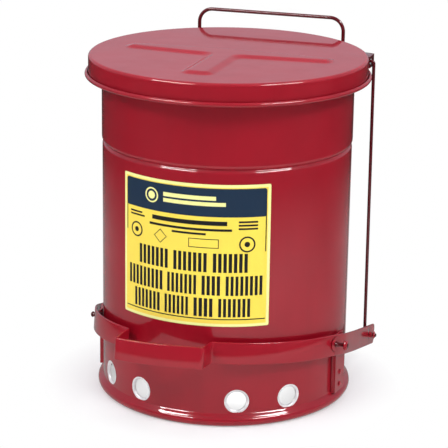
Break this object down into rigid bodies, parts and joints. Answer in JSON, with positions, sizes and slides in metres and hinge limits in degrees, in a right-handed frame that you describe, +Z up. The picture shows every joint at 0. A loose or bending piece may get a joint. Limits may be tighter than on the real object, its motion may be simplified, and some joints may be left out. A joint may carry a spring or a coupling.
{
  "type": "oily waste can",
  "caption": "Round red steel waste can with a foot treadle that lifts a self-closing hinged lid through a side rod; vented raised base and a wire backstop.",
  "frame": {"origin": "on the floor under the middle of the overall footprint, 6.45 mm in front of the can's axis", "axes": "+Z up, -Y towards the pedal and label, +X towards the side with the lift rod, +Y towards the lid hinge"},
  "size_m": [0.3372, 0.3722, 0.4287],
  "materials": {
    "red_paint": "gloss",
    "dark_red_paint": "gloss",
    "zinc": "satin",
    "dark_steel": "satin",
    "label_sheet": "satin"
  },
  "bodies": {
    "can": {"body_shell": "red_paint", "body_hinge_leaf": "red_paint", "treadle_bracket_right": "red_paint", "treadle_bracket_left": "red_paint", "body_hinge_rivet_1": "red_paint", "body_hinge_rivet_2": "red_paint", "body_hinge_rivet_3": "red_paint", "body_hinge_rivet_4": "red_paint", "bracket_rivet_right_lower": "red_paint", "bracket_rivet_right_upper": "red_paint", "bracket_rivet_left_lower": "red_paint", "bracket_rivet_left_upper": "red_paint", "bottom_pan": "dark_red_paint", "backstop_loop": "dark_red_paint", "hinge_pin": "zinc", "hinge_pin_cap": "zinc", "pivot_nut_right": "zinc", "pivot_bolt_right": "dark_steel", "pivot_pin_left": "dark_steel", "label": "label_sheet"},
    "lid": {"lid_pan": "red_paint", "lid_hinge_leaf": "red_paint", "lid_lift_lug": "red_paint", "lid_hinge_rivet_1": "red_paint", "lid_hinge_rivet_2": "red_paint", "lug_rivet_1": "red_paint", "lug_rivet_2": "red_paint"},
    "treadle": {"treadle_strap": "red_paint", "pivot_washer_right": "zinc"},
    "rod": {"lift_rod": "dark_red_paint", "rod_spacer": "zinc", "rod_retainer_lower": "zinc", "rod_retainer_upper": "zinc"}
  },
  "joints": [
    {"name": "lid_hinge", "type": "hinge", "parent": "can", "child": "lid", "pos_m": [0, 0.17445, 0.378], "axis": [-1, 0, 0], "range_deg": [0, 46]},
    {"name": "treadle_pivot", "type": "hinge", "parent": "can", "child": "treadle", "pos_m": [0, -0.04155, 0.082], "axis": [1, 0, 0], "range_deg": [0, 18.54]},
    {"name": "rod_pivot", "type": "hinge", "parent": "treadle", "child": "rod", "pos_m": [0.1575, 0.10845, 0.043], "axis": [-1, 0, 0], "range_deg": [0, 22.44]}
  ],
  "couplings": [
    {"joint": "treadle_pivot", "follows": "lid_hinge", "ratio": 0.403},
    {"joint": "rod_pivot", "follows": "lid_hinge", "ratio": 0.4878}
  ]
}
